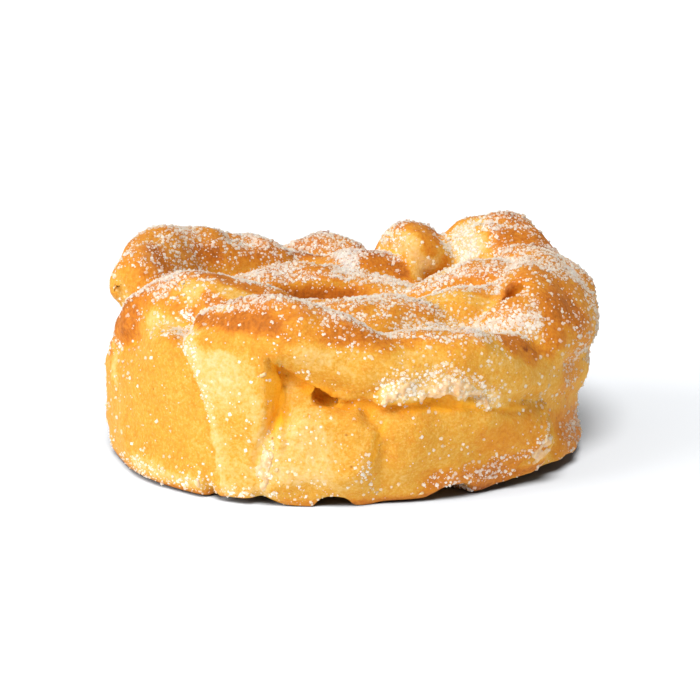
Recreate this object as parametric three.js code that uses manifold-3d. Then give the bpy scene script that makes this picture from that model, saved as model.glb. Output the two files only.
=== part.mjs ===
// A sugar bun: strands of sweet dough folded into a loose knot and baked in a ring.
// The strands swelled against the ring, so the wall is pressed flat where they met it,
// creased where one strand laps another, and humped and open in the middle on top.

import * as THREE from "three";
import { mergeVertices } from "three/addons/utils/BufferGeometryUtils.js";
import Module from "manifold-3d";

const wasm = await Module();
wasm.setup();

// Driving dimensions, in millimetres.
const WIDTH = 95; // across the wall
const CORE_RADIUS = 43.5; // dough that the folds are wrapped round
const CORE_HEIGHT = 28;
const INNER_SHARE = 0.6; // of the core, inside which no fold faces outwards

// The baking ring, which is taller than the tallest fold, and the core, as drums: radius of
// the wall, radius of the flat underside, roundings below and above, and height.
const RING = { radius: WIDTH / 2, foot: 43.5, round: 4.5, height: 50, crown: 1 };
const CORE = { radius: CORE_RADIUS, foot: 38, round: 5, height: CORE_HEIGHT, crown: 9 };

// How much the folds swell and shrink along their length, and the length of one swell.
const UNEVEN = 0.05;
const SWELL_LENGTH = 17;
const SWELL_SLANTS = [0.6, -0.8];
const SWELL_STARTS = [1, 2];

// Mesh fineness: millimetres along a fold, sides round it, and the steps of the other shapes.
const STEP_LENGTH = 3.8;
const LEAST_STEPS = 4;
const SIDES = 16;
const CAP_STEPS = 4;
const RING_SIDES = 72;
const ROUNDING_STEPS = 5;
const EGG_SIDES = 14;
const EGG_RINGS = 10;
const CRAG_SIDES = 6;
const CRAG_RINGS = 5;
const MERGE_GAP = 1e-4;
const NEARLY_ZERO = 1e-9;

// Each fold is a strand through three places, each given as azimuth in degrees
// (0 is +X, -90 is the front), reach from the axis and height of the strand's middle.
// wide is its size along the surface of the bun, at its start and end, and thick its size
// through the dough. square presses its section from an ellipse, at 2, towards a rounded box.
const FOLDS = [
  // Lower strands, round the foot of the wall
  { name: "left panel", way: [[-159, 38, 19], [-154, 38.5, 10], [-149, 38, 1]],
    wide: [46, 44], thick: 18, square: 4.5 },
  { name: "pale panel", way: [[-121, 39, 28.5], [-118, 39.5, 16], [-117, 39, 5]],
    wide: [19, 11], thick: 19, square: 4 },
  { name: "front foot", way: [[-104.5, 39, 7], [-99, 39.2, 9], [-92, 39, 9.5]],
    wide: [19, 23], thick: 18, square: 3 },
  { name: "right foot", way: [[-77, 37.8, 12.6], [-60, 37.8, 12], [-42, 37.6, 10]],
    wide: [22, 18], thick: 18, square: 3 },
  { name: "back right foot", way: [[-28, 36.2, 5.5], [-5, 36.4, 4.6], [24, 36, 4.5]],
    wide: [17, 11.5], thick: 17.4, square: 2.6 },
  { name: "right side", way: [[-30, 35.6, 19], [-5, 35.6, 19], [24, 35.6, 19]],
    wide: [19, 19], thick: 20.4, square: 2 },
  { name: "back foot", way: [[38, 38, 7], [54, 38.5, 7], [70, 38, 6]],
    wide: [24, 22], thick: 18, square: 3 },
  { name: "back left foot", way: [[112, 38, 5], [124, 38, 7], [138, 38, 7]],
    wide: [22, 24], thick: 18, square: 3 },
  { name: "back left panel", way: [[154, 37, 27], [157, 38, 14], [163, 38, 1]],
    wide: [26, 32], thick: 18.8, square: 3.5 },
  { name: "back sash", way: [[114, 38, 1], [94, 39.5, 13], [76, 38, 21]],
    wide: [15, 18], thick: 18.5, square: 3 },
  // Upper strands, round the rim
  { name: "front ridge", way: [[-129, 38, 28], [-109, 41.3, 31.4], [-85, 40, 25.6]],
    wide: [10, 14], thick: 14, square: 2.6 },
  { name: "front right band", way: [[-88, 39, 25.5], [-60, 39.5, 23.5], [-38, 38, 21.5]],
    wide: [12, 14], thick: 17, square: 2.6 },
  { name: "rim knob", way: [[-50, 33, 23], [-43, 36, 24], [-36, 37, 22]],
    wide: [12, 12], thick: 14, square: 2.2 },
  { name: "right shoulder", way: [[-32, 36.4, 25.5], [-5, 36.9, 28], [22, 36, 27.5]],
    wide: [19, 20.5], thick: 19.5, square: 3 },
  { name: "back right band", way: [[26, 38, 23], [44, 39, 25], [64, 37, 24]],
    wide: [18, 16], thick: 17, square: 2.6 },
  { name: "back right peak", way: [[51, 32, 25], [40, 35.5, 35.2], [16, 37, 26]],
    wide: [16, 18], thick: 17, square: 2.2 },
  { name: "back left band", way: [[102, 37, 24], [124, 38.5, 25], [146, 38, 26]],
    wide: [16, 18], thick: 17, square: 2.6 },
  { name: "back hump", way: [[118, 33, 24], [101, 34, 29.5], [90, 30, 26]],
    wide: [17, 15], thick: 14, square: 2 },
  { name: "back left lobe", way: [[-179, 38, 30.5], [161, 36.5, 32.5], [130, 28, 27]],
    wide: [14, 18], thick: 19, square: 2.3 },
  { name: "front left lobe", way: [[-173, 38.5, 20], [-151, 35.5, 29.5], [-124, 28, 27]],
    wide: [16, 17], thick: 18, square: 2.2 },
  // Inner strands, crossing the top
  { name: "right crest", way: [[10, 14, 25.5], [3, 29, 30.5], [-6, 40, 25]],
    wide: [18, 16], thick: 13, square: 2 },
  { name: "yellow strand", way: [[-55, 17, 26], [-28, 26, 28.5], [-14, 35, 26]],
    wide: [16, 15], thick: 12, square: 2 },
  { name: "valley floor", way: [[-66, 30, 24], [-45, 28, 25], [-28, 30, 24]],
    wide: [16, 16], thick: 10, square: 2.4 },
  { name: "middle ridge", way: [[-146, 27, 27], [-88, 22, 28], [-38, 22, 26.5]],
    wide: [18, 17], thick: 12, square: 2 },
  { name: "nub", way: [[74, 31, 22], [64, 27, 28], [58.5, 25, 33.5]],
    wide: [21, 14], thick: 14, square: 2.6 },
  { name: "slanting strand", way: [[134, 35, 24], [120, 30, 28], [105, 17, 27]],
    wide: [16, 15], thick: 13, square: 2 },
  { name: "tucked end", way: [[126, 19, 27], [86, 16, 31], [58, 18, 28]],
    wide: [16, 13], thick: 11, square: 2 },
  { name: "hollow wall", way: [[170, 24, 27], [120, 11, 29], [20, 11, 26]],
    wide: [18, 17], thick: 11, square: 2 },
];

// Egg-shaped hollows, each with the place of its middle and its size along X, Y and Z.
const HOLLOWS = [
  { name: "open middle", at: [-128, 6.4, 34], size: [30, 16, 29] },
  { name: "crevice pit", at: [-97, 44, 20.4], size: [3.6, 12, 3.2] },
  { name: "crest pit", at: [-31.5, 35.5, 33.5], size: [4.4, 3.8, 9] },
  { name: "front notch", at: [-94.5, 44, 0], size: [7, 26, 4.4] },
  { name: "right notch", at: [-64, 43, 0], size: [10, 26, 6.8] },
  { name: "right lifted edge", at: [-14, 44, 0], size: [80, 36, 5.6] },
  { name: "left lifted edge", at: [-117, 44, 0], size: [15, 20, 2.6] },
];

// Crags where the crumb tore or sugar caked on it: a row of uneven lumps through three places,
// with their size along the row, outwards and upwards, and how many there are.
const CRAGS = [
  { name: "belt lip", way: [[-83, 45.6, 21.4], [-66, 46, 22.4], [-52, 45.4, 19]],
    size: [4.8, 4.4, 3.4], lumps: 12 },
  { name: "foot edge", way: [[-109, 45.4, 14], [-109, 46, 9], [-110, 46.2, 3]],
    size: [2.2, 3, 3], lumps: 5 },
  { name: "right foot edge", way: [[-37, 44.6, 15], [-39, 45.4, 11], [-44, 45.6, 5]],
    size: [2.2, 3, 3.2], lumps: 4 },
  { name: "rim ledge", way: [[180, 45.4, 34], [-177, 45.6, 33.6], [-174, 45, 33]],
    size: [3.4, 3, 2], lumps: 2 },
];

// How uneven the lumps are: in size along the row, outwards and upwards, in height, and in
// tip about the way out, in radians.
const CRAG_UNEVEN = { size: [1, 0.5, 0.7], height: 1.6, tip: 1.2 };
const CRAG_SEED = 5;

// Slow bending of every strand, so that none is a true tube: reach and length of each wave,
// how much it slants, and where it starts along X, Y and Z.
const BENDS = [
  { reach: 0.5, length: 31 },
  { reach: 0.45, length: 13 },
];
const BEND_SLANT = 0.7;
const BEND_STARTS = [0.4, 1.9, 3.1];

const BUN_COLOUR = 0xf0b050;

// A place given by azimuth in degrees, reach and height.
function place([azimuth, reach, height]) {
  const turn = THREE.MathUtils.degToRad(azimuth);
  return new THREE.Vector3(reach * Math.cos(turn), reach * Math.sin(turn), height);
}

// The way out of the bun at a point: up on top, outwards at the wall.
function outward(point) {
  const flat = new THREE.Vector3(point.x, point.y, 0);
  const inside = flat.clone().clampLength(0, INNER_SHARE * CORE_RADIUS);
  inside.z = INNER_SHARE * CORE_HEIGHT;
  return point.clone().sub(inside).normalize();
}

// How far a fold swells at a point, around 1.
function swell(point) {
  const { x, y, z } = point.clone().multiplyScalar(2 * Math.PI / SWELL_LENGTH);
  const across = Math.sin(x + SWELL_SLANTS[0] * z + SWELL_STARTS[0]);
  const along = Math.sin(y + SWELL_SLANTS[1] * z + SWELL_STARTS[1]);
  return 1 + UNEVEN * (across + along) / 2;
}

// Moves a point by the slow bending waves.
function bend(point) {
  for (const { reach, length } of BENDS) {
    const { x, y, z } = point.clone().multiplyScalar(2 * Math.PI / length);
    point.x += reach * Math.sin(y + BEND_SLANT * z + BEND_STARTS[0]);
    point.y += reach * Math.sin(z + BEND_SLANT * x + BEND_STARTS[1]);
    point.z += reach * Math.sin(x + BEND_SLANT * y + BEND_STARTS[2]);
  }
}

// A sine or cosine pressed from a circle's towards a rounded box's, with zero kept exact so
// that the seam of a strand closes.
function pressed(value, square) {
  return Math.abs(value) < NEARLY_ZERO ? 0 : Math.sign(value) * Math.abs(value) ** (2 / square);
}

// A strand of dough: a capsule bent along the fold's way and pressed to its width and thickness.
function strand({ way, wide, thick, square }) {
  const path = new THREE.CatmullRomCurve3(way.map(place));
  const steps = Math.max(LEAST_STEPS, Math.round(path.getLength() / STEP_LENGTH));
  const capsule = new THREE.CapsuleGeometry(1, 1, CAP_STEPS, SIDES, steps);
  const position = capsule.getAttribute("position");
  const cap = Math.min(...wide, thick) / 2;
  const vertex = new THREE.Vector3();
  for (let i = 0; i < position.count; i++) {
    vertex.fromBufferAttribute(position, i);
    const along = THREE.MathUtils.clamp(vertex.y, -0.5, 0.5);
    const middle = path.getPointAt(along + 0.5);
    const tangent = path.getTangentAt(along + 0.5);
    const across = tangent.clone().cross(outward(middle)).normalize();
    const up = across.clone().cross(tangent);
    const round = Math.hypot(vertex.x, vertex.z) || 1;
    const breadth = THREE.MathUtils.lerp(...wide, along + 0.5);
    const aside = round * pressed(vertex.x / round, square) * breadth / 2;
    const rise = round * pressed(vertex.z / round, square) * thick / 2;
    const grown = swell(middle.clone().addScaledVector(across, aside));
    const point = middle
      .addScaledVector(tangent, (vertex.y - along) * cap)
      .addScaledVector(across, grown * aside)
      .addScaledVector(up, grown * rise);
    bend(point);
    position.setXYZ(i, point.x, point.y, point.z);
  }
  return capsule;
}

// A solid of revolution with a flat underside and rounded edges.
function drum({ radius, foot, round, height, crown }) {
  const profile = new THREE.Path();
  profile.moveTo(0, 0).lineTo(foot, 0);
  profile.quadraticCurveTo(radius, 0, radius, round);
  profile.lineTo(radius, height - crown);
  profile.quadraticCurveTo(radius, height, radius - crown, height);
  profile.lineTo(0, height);
  const lathe = new THREE.LatheGeometry(profile.getPoints(ROUNDING_STEPS), RING_SIDES);
  return lathe.rotateX(Math.PI / 2);
}

// A closed geometry as a solid that can be joined and cut.
function solid(geometry) {
  const bare = geometry.clone();
  bare.deleteAttribute("normal");
  bare.deleteAttribute("uv");
  const merged = mergeVertices(bare, MERGE_GAP);
  return new wasm.Manifold(
    new wasm.Mesh({
      numProp: 3,
      vertProperties: new Float32Array(merged.getAttribute("position").array),
      triVerts: new Uint32Array(merged.index.array),
    }),
  );
}

// A solid as a geometry again.
function geometryOf(made) {
  const mesh = made.getMesh();
  const geometry = new THREE.BufferGeometry();
  geometry.setAttribute("position", new THREE.BufferAttribute(mesh.vertProperties, 3));
  geometry.setIndex(new THREE.BufferAttribute(mesh.triVerts, 1));
  geometry.computeVertexNormals();
  return geometry;
}

// An egg-shaped cutter, turned so that its Y size runs outwards.
function hollow({ at, size }) {
  const middle = place(at);
  const egg = new THREE.SphereGeometry(0.5, EGG_SIDES, EGG_RINGS).scale(...size);
  egg.rotateZ(at[1] > CORE_RADIUS / 2 ? Math.atan2(-middle.x, middle.y) : 0);
  return egg.translate(middle.x, middle.y, middle.z);
}

// A random value around zero, from -0.5 to 0.5. The draws are seeded, so they never change.
function jitter() {
  return THREE.MathUtils.seededRandom() - 0.5;
}

// One row of crags, each lump turned along the wall and tipped a little.
function crags({ way, size, lumps }) {
  const path = new THREE.CatmullRomCurve3(way.map(place));
  return Array.from({ length: lumps }, (_, i) => {
    const at = path.getPointAt((i + 0.5) / lumps);
    const lump = new THREE.SphereGeometry(0.5, CRAG_SIDES, CRAG_RINGS);
    lump.scale(...size.map((full, axis) => full * (1 + CRAG_UNEVEN.size[axis] * jitter())));
    lump.rotateY(CRAG_UNEVEN.tip * jitter());
    lump.rotateZ(Math.atan2(at.y, at.x) + Math.PI / 2);
    return lump.translate(at.x + jitter(), at.y + jitter(), at.z + CRAG_UNEVEN.height * jitter());
  });
}

// The largest body of a solid, without the slivers that joining can leave.
function largest(made) {
  return made.decompose().reduce((best, next) => (next.volume() > best.volume() ? next : best));
}

function bun() {
  THREE.MathUtils.seededRandom(CRAG_SEED);
  const core = solid(drum(CORE));
  const lumps = [...FOLDS.map(strand), ...CRAGS.flatMap(crags)];
  const dough = lumps.reduce((all, next) => all.add(solid(next)), core);
  const cutters = HOLLOWS.map((egg) => solid(hollow(egg)));
  const moulded = dough.intersect(solid(drum(RING)));
  return geometryOf(largest(cutters.reduce((all, next) => all.subtract(next), moulded)));
}

const crust = new THREE.MeshStandardMaterial({ color: BUN_COLOUR, roughness: 0.75, metalness: 0 });
const mesh = new THREE.Mesh(bun(), crust);
mesh.name = "bun";

const part = new THREE.Group();
part.add(mesh);

export default part;
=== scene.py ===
import itertools
import math
from types import SimpleNamespace

import bmesh
import bpy
import numpy as np
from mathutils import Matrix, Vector


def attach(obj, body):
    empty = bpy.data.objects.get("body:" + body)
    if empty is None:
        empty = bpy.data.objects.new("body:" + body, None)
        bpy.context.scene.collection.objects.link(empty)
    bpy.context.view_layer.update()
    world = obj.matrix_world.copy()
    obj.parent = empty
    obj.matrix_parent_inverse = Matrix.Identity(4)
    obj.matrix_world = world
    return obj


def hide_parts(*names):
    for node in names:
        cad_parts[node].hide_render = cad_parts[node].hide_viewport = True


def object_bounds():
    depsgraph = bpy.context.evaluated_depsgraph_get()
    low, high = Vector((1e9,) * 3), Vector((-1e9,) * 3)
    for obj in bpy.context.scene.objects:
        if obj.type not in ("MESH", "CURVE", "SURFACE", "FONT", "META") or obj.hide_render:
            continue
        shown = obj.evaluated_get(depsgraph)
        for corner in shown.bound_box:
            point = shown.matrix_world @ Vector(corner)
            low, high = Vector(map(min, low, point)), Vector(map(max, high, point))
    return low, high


# A sugar bun: the solid of the frame is remeshed finely, softened as dough, browned by the
# oven and strewn with sugar. Sizes are in millimetres until a mesh is made.

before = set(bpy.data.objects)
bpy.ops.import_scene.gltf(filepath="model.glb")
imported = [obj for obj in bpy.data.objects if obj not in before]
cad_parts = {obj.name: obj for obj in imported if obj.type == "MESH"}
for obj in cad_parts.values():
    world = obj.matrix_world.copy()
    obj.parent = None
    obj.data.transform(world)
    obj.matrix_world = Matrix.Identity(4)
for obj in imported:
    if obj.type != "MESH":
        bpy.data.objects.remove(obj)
cad_low, cad_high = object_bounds()

MM = 0.001
VOXEL = 0.59  # spacing of the crust's points
LATTICE = 48  # cells in one repeat of the noise
WALL = cad_high[0] / MM  # radius of the wall


# Numbers

def ramp(values, low, high):
    """0 below low, 1 above high, and smooth between them."""
    share = np.clip((values - low) / (high - low), 0, 1)
    return share * share * (3 - 2 * share)


def noise(points, length, seed):
    """Smooth random values from about -1 to 1, with waves about twice the length long."""
    rng = np.random.default_rng(seed)
    values = rng.uniform(-1, 1, (LATTICE,) * 3)
    turn = np.linalg.qr(rng.normal(size=(3, 3)))[0]
    place = points @ turn / length + 100 * LATTICE
    cell = np.floor(place).astype(int)
    part = place - cell
    part = part * part * (3 - 2 * part)
    total = np.zeros(len(points))
    for corner in itertools.product((0, 1), repeat=3):
        index = (cell + np.array(corner)) % LATTICE
        weight = np.prod(np.where(corner, part, 1 - part), axis=1)
        total += weight * values[index[:, 0], index[:, 1], index[:, 2]]
    return total


def rough_noise(points, length, seed, octaves=3):
    """Noise with finer and weaker waves added."""
    return sum(noise(points, length / 2 ** k, seed + k) / 2 ** k for k in range(octaves))


def along(places, start, end):
    """For each place, the way to it from the nearest point of a straight line."""
    start, end = np.array(start, float), np.array(end, float)
    way = end - start
    share = np.clip((places - start) @ way / max(way @ way, 1e-9), 0, 1)
    return places - start - share[:, None] * way


STROKE_FADE = (0.35, 1.35)  # where a stroke starts to fade and where it ends, in shares of its reach


def touch(dough, start, end, reach):
    """1 near the line from start to end, falling to 0 at a ragged edge about the reach away."""
    away = np.linalg.norm(along(dough.points, start, end), axis=1)
    return 1 - ramp(away / reach + dough.ragged, *STROKE_FADE)


def painted(dough, values, strokes):
    """Values drawn to the level of each stroke in turn: a start, an end, a reach and a level."""
    for start, end, reach, level in strokes:
        values = values + touch(dough, start, end, reach) * (level - values)
    return values


# A surface as arrays of points, normals and neighbours

class Surface:
    def __init__(self, mesh):
        self.mesh = mesh
        self.count = len(mesh.vertices)
        points = np.empty(self.count * 3, np.float32)
        mesh.vertices.foreach_get("co", points)
        self.points = points.reshape(-1, 3).astype(float) / MM
        edges = np.empty(len(mesh.edges) * 2, np.int32)
        mesh.edges.foreach_get("vertices", edges)
        self.first, self.second = edges.reshape(-1, 2).T
        ends = np.concatenate([self.first, self.second])
        self.degree = np.maximum(np.bincount(ends, minlength=self.count), 1)
        mesh.calc_loop_triangles()
        corners = np.empty(len(mesh.loop_triangles) * 3, np.int32)
        mesh.loop_triangles.foreach_get("vertices", corners)
        self.triangles = corners.reshape(-1, 3)
        self.turn_normals()

    def turn_normals(self):
        a, b, c = (self.points[self.triangles[:, k]] for k in range(3))
        faces = np.cross(b - a, c - a)
        self.normals = np.zeros((self.count, 3))
        for corner, axis in itertools.product(range(3), range(3)):
            self.normals[:, axis] += np.bincount(
                self.triangles[:, corner], faces[:, axis], minlength=self.count)
        length = np.linalg.norm(self.normals, axis=1, keepdims=True)
        self.normals /= np.maximum(length, 1e-12)

    def average(self, values):
        """Each point's mean over its neighbours, of single values or of places."""
        if values.ndim == 2:
            return np.stack([self.average(values[:, k]) for k in range(values.shape[1])], axis=1)
        total = np.bincount(self.first, values[self.second], minlength=self.count)
        total += np.bincount(self.second, values[self.first], minlength=self.count)
        return total / self.degree

    def spread(self, values, rounds):
        for _ in range(rounds):
            values = 0.5 * values + 0.5 * self.average(values)
        return values

    def gathered(self, at_first, at_second):
        """For each point, the sum of what its edges bring, one row for each edge and end."""
        total = np.empty((self.count, at_first.shape[1]))
        for column in range(at_first.shape[1]):
            total[:, column] = np.bincount(self.first, at_first[:, column], minlength=self.count)
            total[:, column] += np.bincount(self.second, at_second[:, column], minlength=self.count)
        return total

    def flowing_normals(self, rounds, keenness):
        """Normals smoothed along the strands, but not across turns sharper than the keenness."""
        normals = self.normals
        for _ in range(rounds):
            one, two = normals[self.first], normals[self.second]
            weight = np.exp(-np.sum((one - two) ** 2, axis=1) / keenness ** 2)[:, None]
            normals = normals + self.gathered(weight * two, weight * one)
            normals /= np.linalg.norm(normals, axis=1, keepdims=True)
        return normals

    def follow(self, normals, rounds):
        """Moves the points until the surface has the given normals."""
        between = normals[self.first] + normals[self.second]
        between /= np.maximum(np.linalg.norm(between, axis=1, keepdims=True), 1e-9)
        for _ in range(rounds):
            step = self.points[self.second] - self.points[self.first]
            rise = np.sum(step * between, axis=1, keepdims=True) * between
            self.points += 0.5 * self.gathered(rise, -rise) / self.degree[:, None]
        self.turn_normals()

    def push(self, height):
        """Moves the points along their normals."""
        self.points += self.normals * height[:, None]
        self.turn_normals()

    def hollowness(self, rounds):
        """How far each point lies below, or above if negative, the surface around it, in mm."""
        around = self.points
        for _ in range(rounds):
            around = self.average(around)
        return np.sum((around - self.points) * self.normals, axis=1)

    def write(self):
        self.mesh.vertices.foreach_set("co", (self.points * MM).astype(np.float32).ravel())
        self.mesh.update()


def keep(mesh, name, values):
    """Stores one value for each point of a mesh under a name that materials can read."""
    attribute = mesh.attributes.new(name, "FLOAT", "POINT")
    attribute.data.foreach_set("value", np.asarray(values, np.float32))


def placed(name, mesh):
    """A new object of a mesh in the scene."""
    piece = bpy.data.objects.new(name, mesh)
    bpy.context.scene.collection.objects.link(piece)
    return piece


def evenly(piece, voxel):
    """The mesh of a piece in small even quads, with what overlaps melted together."""
    remesh = piece.modifiers.new("even", "REMESH")
    remesh.mode = "VOXEL"
    remesh.voxel_size = voxel * MM
    graph = bpy.context.evaluated_depsgraph_get()
    mesh = bpy.data.meshes.new_from_object(piece.evaluated_get(graph))
    mesh.name = piece.name
    mesh.materials.clear()
    mesh.shade_smooth()
    piece.modifiers.clear()
    return mesh


# Form of the dough

FLOW_ROUNDS = 16  # how far the roundness of a strand spreads, in points
KEENNESS = 0.22  # change of direction from point to point that stays as a crease
FOLLOW_ROUNDS = 18


def soften(dough):
    """Rounds the facets off the strands and keeps the creases between them."""
    dough.points = dough.spread(dough.points, rounds=1)
    dough.turn_normals()
    dough.follow(dough.flowing_normals(FLOW_ROUNDS, KEENNESS), FOLLOW_ROUNDS)


# Where one fold laps another on the wall: places on a line, each a turn in degrees about the
# axis and a height, then the rise on the left of the way along the line, the fall on its right
# and the reach of both.
LAPS = {
    "recess lip": ([(-107, 26.8), (-102, 23.6), (-95, 20.6), (-91.5, 20.2)], 0.5, 0.9, 2.8),
    "belt": (
        [(-90, 20.2), (-80, 19.6), (-71, 20.4), (-62, 18.6), (-52, 16.6), (-46, 15.8)],
        0.25, 0.35, 1.6),
    "recess side": ([(-105.4, 12.5), (-106.5, 19), (-107, 26.6)], 0.3, 0.5, 2),
    "left crease": (
        [(-120.6, 5), (-123.2, 15.6), (-127, 23), (-130, 27.5), (-133, 31)],
        -0.25, 0, 1.4),
    "foot crease": ([(-86, 9), (-85.5, 12), (-83, 18.4)], 0, 0.25, 1),
    "right edge": ([(-47, 4), (-42, 10), (-37, 15)], 0.5, 0.5, 2.4),
}
LAP_EDGE = 0.3  # half the width of the step itself
LAP_RAGGED = 0.5  # how far the line wanders
WALL_FROM = (36, 40)  # radii between which the top gives way to the wall


def on_wall(dough):
    """1 on the wall and 0 further in."""
    return ramp(np.hypot(dough.points[:, 0], dough.points[:, 1]), *WALL_FROM)


def beside(dough, line):
    """How far each point is from a line on the wall, and whether it lies on the left of it."""
    turn = np.arctan2(dough.points[:, 1], dough.points[:, 0])
    places = np.stack([turn * WALL, dough.points[:, 2]], axis=1)
    wander = [noise(dough.points, length=1.5, seed=seed) for seed in (41, 42)]
    places += LAP_RAGGED * np.stack(wander, axis=1)
    corners = [(math.radians(degrees) * WALL, height) for degrees, height in line]
    nearest = np.full(dough.count, np.inf)
    left = np.zeros(dough.count)
    for start, end in zip(corners, corners[1:]):
        away = along(places, start, end)
        distance = np.linalg.norm(away, axis=1)
        way = np.subtract(end, start)
        side = np.sign(way[0] * away[:, 1] - way[1] * away[:, 0])
        left = np.where(distance < nearest, side, left)
        nearest = np.minimum(distance, nearest)
    return nearest, ramp(left * nearest, -LAP_EDGE, LAP_EDGE)


def lap(dough, line, rise, fall, reach):
    """Relief of one fold lapping another along a line on the wall."""
    nearest, left = beside(dough, line)
    fade = 1 - ramp(nearest, 0.2 * reach, reach)
    return fade * (rise * left - fall * (1 - left))


# Where the dough rose more, or less, in the oven: a start, an end, a reach and a height
SWOLLEN = [
    # Back right peak: the notch beside the nub, and its top
    ((18.7, 22, 38.6), (24.4, 21.7, 41.4), 3.4, -1.5),
    ((28.4, 21.8, 41.8), (30, 20.2, 41.8), 2.6, 0.7),
    # Back left lobe: the dip at its right, and its left face
    ((-23, 15.8, 38.8), (-20.5, 16.9, 37.8), 3, -1.3),
    ((-46, -3.5, 32.5), (-45.3, -2.5, 29.7), 3.5, -1.3),
    # Shoulder of the front left lobe
    ((-43.6, -10.7, 26.5), (-42.2, -14.2, 29.4), 4, 1.1),
]
SWOLLEN_SOFT = 8  # how far the swellings spread at their edges, in points
CREASE_DEPTH = -0.6  # height added in a crease, for each millimetre of its depth
CREASE_MOST = 0.8  # depth from which a crease counts no further
# Creases that are filled instead: a start, an end, a reach and a height in place of that
FILLED = [
    # Foot of the left crease
    ((-28, -38.5, 0), (-27.8, -38.5, 7), 3, 1.5),
    # Foot of the nub
    ((13, 11.5, 33), (19, 9, 33.6), 3, 1.6),
    # Right end of the belt
    ((30, -33.5, 17.2), (34.5, -27.5, 16.6), 2.5, 1.3),
]
RELIEF = [(0.28, 6, 1), (0.15, 2.6, 2), (0.09, 1.1, 3)]  # heights, lengths and seeds of noise


def wrinkle(dough):
    """Laps, swellings, uneven baked relief, and creases drawn in a little deeper."""
    dough.push(on_wall(dough) * sum(lap(dough, *each) for each in LAPS.values()))
    swollen = painted(dough, np.zeros(dough.count), SWOLLEN)
    dough.push(dough.spread(swollen, SWOLLEN_SOFT))
    off_floor = ramp(dough.points[:, 2], 0.4, 2.5)
    hollow = dough.spread(dough.hollowness(rounds=12), rounds=2)
    crease = np.clip(hollow, 0, CREASE_MOST)
    height = sum(most * noise(dough.points, length, seed) for most, length, seed in RELIEF)
    depth = painted(dough, np.full(dough.count, CREASE_DEPTH), FILLED)
    dough.push(off_floor * height + depth * crease)
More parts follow.
